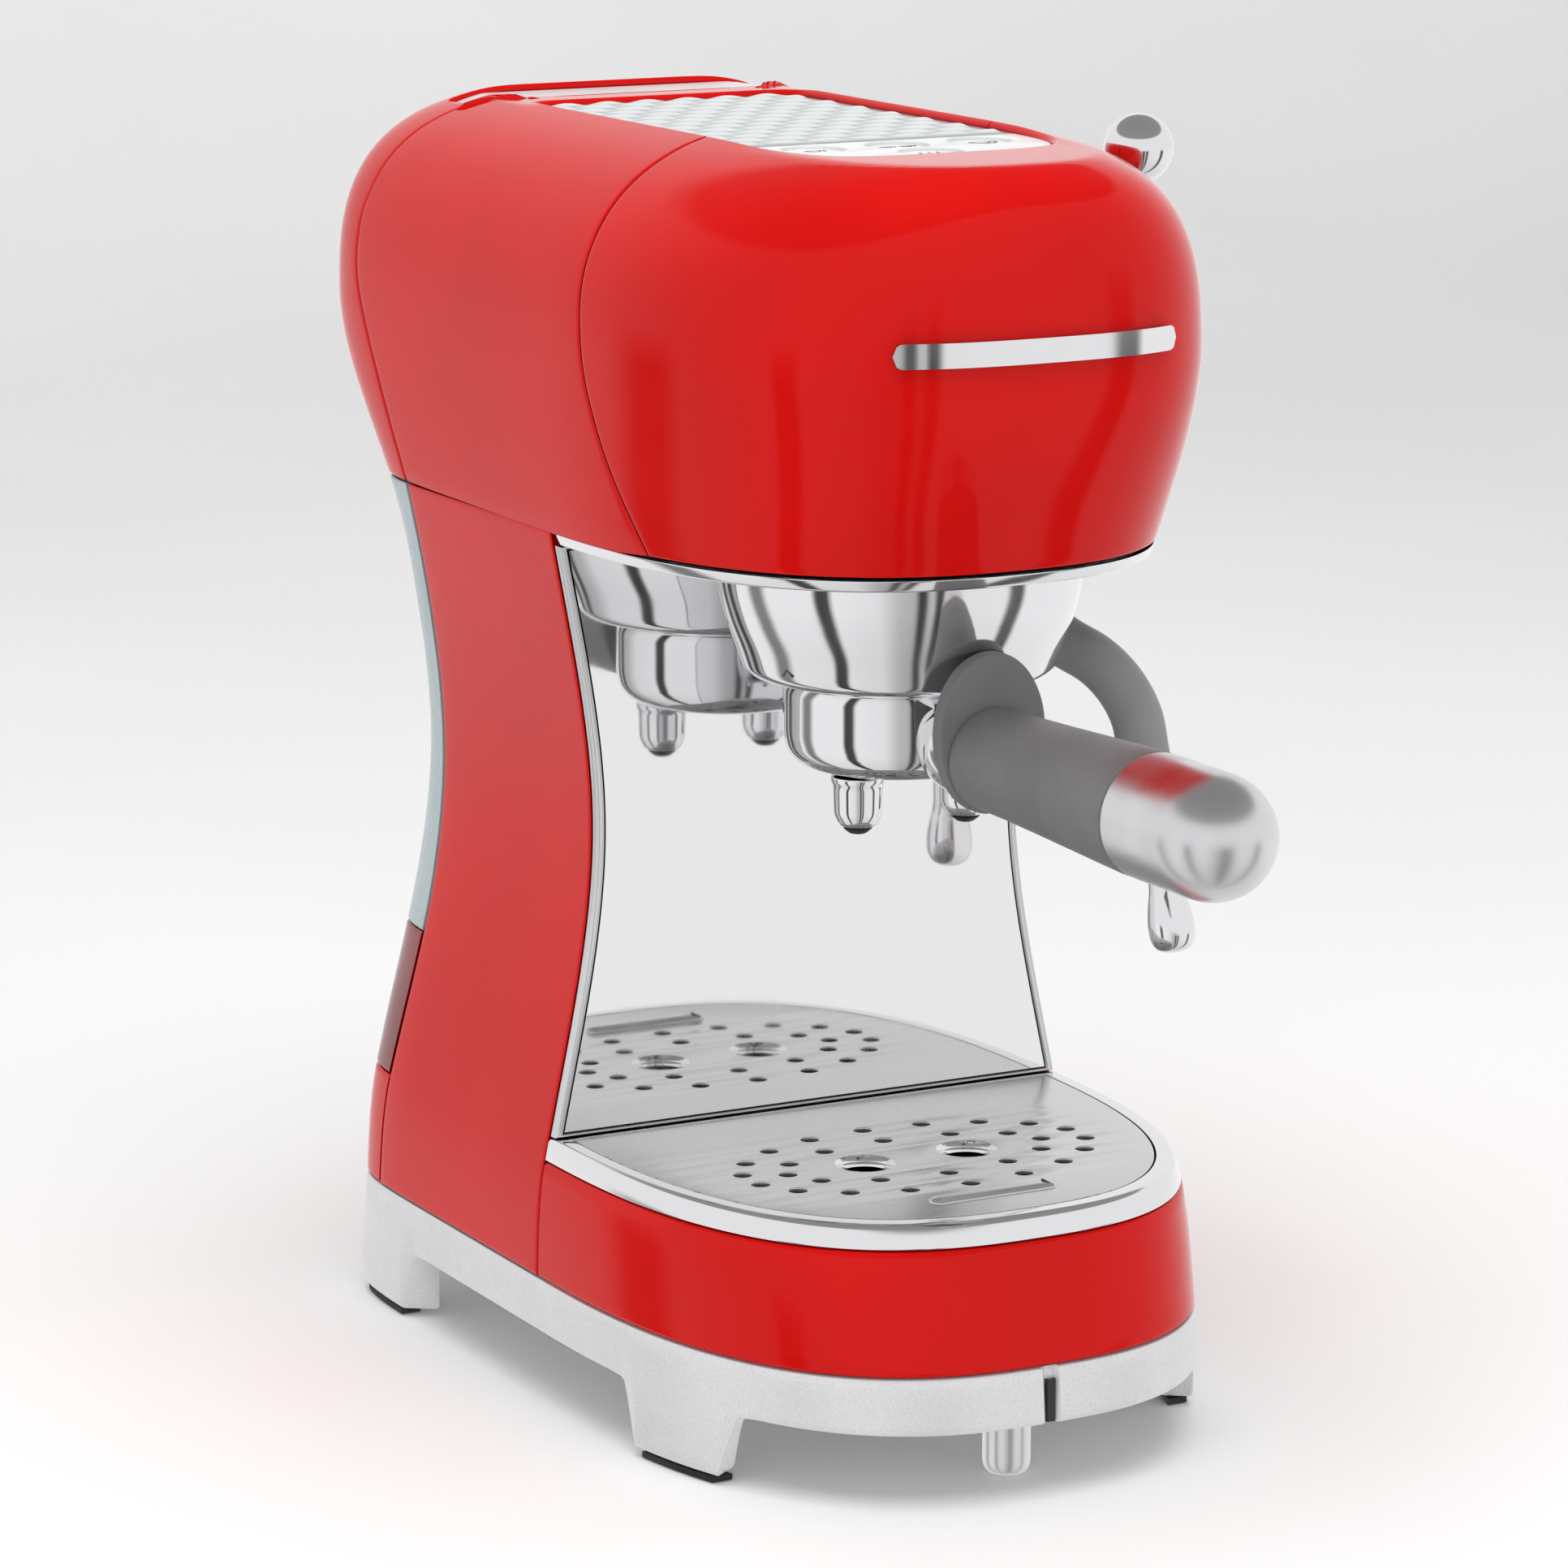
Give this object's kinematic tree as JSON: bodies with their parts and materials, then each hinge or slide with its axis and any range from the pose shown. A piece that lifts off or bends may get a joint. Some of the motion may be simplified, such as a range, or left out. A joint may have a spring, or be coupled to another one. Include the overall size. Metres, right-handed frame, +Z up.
{
  "type": "espresso machine",
  "caption": "Narrow retro pump espresso machine with twist-in portafilter, steam wand and lever, pull-out drip tray and slide-off rear water tank.",
  "frame": {"origin": "on the centre plane, at the centre of the small front foot's flat end, on the worktop", "axes": "+X to the right seen from the front, -Y out of the front towards the user, +Z up"},
  "size_m": [0.1732, 0.3492, 0.3296],
  "materials": {
    "red_enamel": "gloss red lacquer",
    "silver_plastic": "satin silver paint",
    "chrome": "polished chrome plate",
    "brushed_steel": "satin stainless steel",
    "mirror_steel": "mirror-polished stainless steel",
    "grip_grey": "satin grey moulded grip",
    "tank_smoke": "translucent grey-blue moulded plastic",
    "tank_red": "translucent dark red moulded plastic",
    "panel_silver": "light silver moulded plastic",
    "black_plastic": "black moulded plastic",
    "rubber": "black rubber",
    "zinc_steel": "zinc-plated steel and cast aluminium",
    "brass": "machined brass",
    "silicone": "white silicone",
    "board_green": "printed circuit board"
  },
  "bodies": {
    "machine": {"side_panel_left": "red_enamel", "side_panel_right": "red_enamel", "rear_skirt": "red_enamel", "head_front_shell": "red_enamel", "head_rear_shell": "red_enamel", "base_frame": "silver_plastic", "front_foot": "chrome", "backsplash_frame": "chrome", "head_trim": "chrome", "head_badge": "chrome", "group_cover": "chrome", "underside_cover": "brushed_steel", "shower_screen": "brushed_steel", "backsplash": "mirror_steel", "top_panel": "panel_silver", "base_slot_strip": "black_plastic", "mains_inlet": "black_plastic", "pump": "black_plastic", "tank_spigot": "black_plastic", "foot_pad_front_left": "rubber", "foot_pad_front_right": "rubber", "foot_pad_rear_left": "rubber", "foot_pad_rear_right": "rubber", "group_head": "zinc_steel", "screen_screw": "zinc_steel", "chassis_floor": "zinc_steel", "chassis_column": "zinc_steel", "chassis_deck": "zinc_steel", "thermoblock": "zinc_steel", "steam_valve": "brass", "solenoid_valve": "brass", "group_gasket": "silicone", "suction_hose": "silicone", "control_board": "board_green"},
    "portafilter": {"portafilter_body": "chrome", "filter_basket": "brushed_steel", "spout_left": "chrome", "spout_right": "chrome", "spout_nozzle_left": "black_plastic", "spout_nozzle_right": "black_plastic", "handle_collar": "grip_grey", "handle_grip": "grip_grey", "handle_cap": "brushed_steel"},
    "tray": {"tray_shell": "red_enamel", "tray_rim": "chrome", "tray_tub": "black_plastic"},
    "grille": {"drip_grille": "brushed_steel"},
    "tank": {"tank_cup": "tank_red", "water_tank": "tank_smoke", "rear_spine": "red_enamel"},
    "lid": {"tank_lid": "panel_silver"},
    "lever": {"lever_hub": "chrome", "lever_arm": "chrome"},
    "wand": {"wand_ball": "chrome", "wand_sleeve": "grip_grey", "wand_tip": "chrome"},
    "button_left": {"button_left": "panel_silver"},
    "button_centre": {"button_centre": "panel_silver"},
    "button_right": {"button_right": "panel_silver"},
    "button_steam": {"button_steam": "panel_silver"}
  },
  "joints": [
    {"name": "portafilter_twist", "type": "hinge", "parent": "machine", "child": "portafilter", "pos_m": [0, 0.0565, 0.179], "axis": [0, 0, 1], "range_deg": [-45, 0]},
    {"name": "tray_slide", "type": "slide", "parent": "machine", "child": "tray", "axis": [0, -1, 0], "range_m": [0, 0.14]},
    {"name": "grille_lift", "type": "slide", "parent": "tray", "child": "grille", "axis": [0, 0, 1], "range_m": [0, 0.06]},
    {"name": "tank_slide", "type": "slide", "parent": "machine", "child": "tank", "axis": [0, 1, 0], "range_m": [0, 0.06]},
    {"name": "lid_hinge", "type": "hinge", "parent": "tank", "child": "lid", "pos_m": [0, 0.2038, 0.3252], "axis": [1, 0, 0], "range_deg": [0, 80]},
    {"name": "steam_lever_turn", "type": "hinge", "parent": "machine", "child": "lever", "pos_m": [0.0768, 0.097, 0.285], "axis": [1, 0, 0], "range_deg": [-10, 70]},
    {"name": "wand_swivel", "type": "hinge", "parent": "machine", "child": "wand", "pos_m": [0.049, 0.087, 0.217], "axis": [0, 0, 1], "range_deg": [-15, 50]},
    {"name": "button_left_press", "type": "slide", "parent": "machine", "child": "button_left", "axis": [0, 0, -1], "range_m": [0, 0.0012], "stiffness_N_per_m": 1200, "springref_m": -0.0006},
    {"name": "button_centre_press", "type": "slide", "parent": "machine", "child": "button_centre", "axis": [0, 0, -1], "range_m": [0, 0.0012], "stiffness_N_per_m": 1200, "springref_m": -0.0006},
    {"name": "button_right_press", "type": "slide", "parent": "machine", "child": "button_right", "axis": [0, 0, -1], "range_m": [0, 0.0012], "stiffness_N_per_m": 1200, "springref_m": -0.0006},
    {"name": "button_steam_press", "type": "slide", "parent": "machine", "child": "button_steam", "axis": [0, 0, -1], "range_m": [0, 0.0012], "stiffness_N_per_m": 1200, "springref_m": -0.0006}
  ]
}
